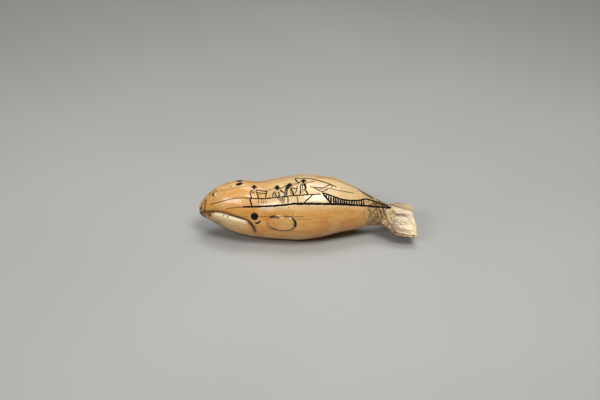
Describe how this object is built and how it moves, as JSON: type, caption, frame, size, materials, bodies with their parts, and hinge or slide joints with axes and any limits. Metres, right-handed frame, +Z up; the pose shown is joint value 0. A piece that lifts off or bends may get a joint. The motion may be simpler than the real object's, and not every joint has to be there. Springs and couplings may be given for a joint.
{
  "type": "scrimshaw whale tooth",
  "caption": "Small whale carved in the round from a tooth, lying on its belly, with carved mouth, low flippers, spread flukes and inlaid eyes and blowholes.",
  "frame": {"origin": "on the surface it lies on, under the middle of its bounding box", "axes": "+Z up, -X towards the snout and +X towards the flukes, -Y towards the side that the picture shows"},
  "size_m": [0.115, 0.0358, 0.0343],
  "materials": {
    "ivory": "polished tooth, honey coloured with age",
    "black_inlay": "polished black horn or wax"
  },
  "bodies": {
    "root": {"ivory_whale": "ivory", "eye_inlay_left": "black_inlay", "eye_inlay_right": "black_inlay", "blowhole_inlay_left": "black_inlay", "blowhole_inlay_right": "black_inlay"}
  },
  "joints": []
}
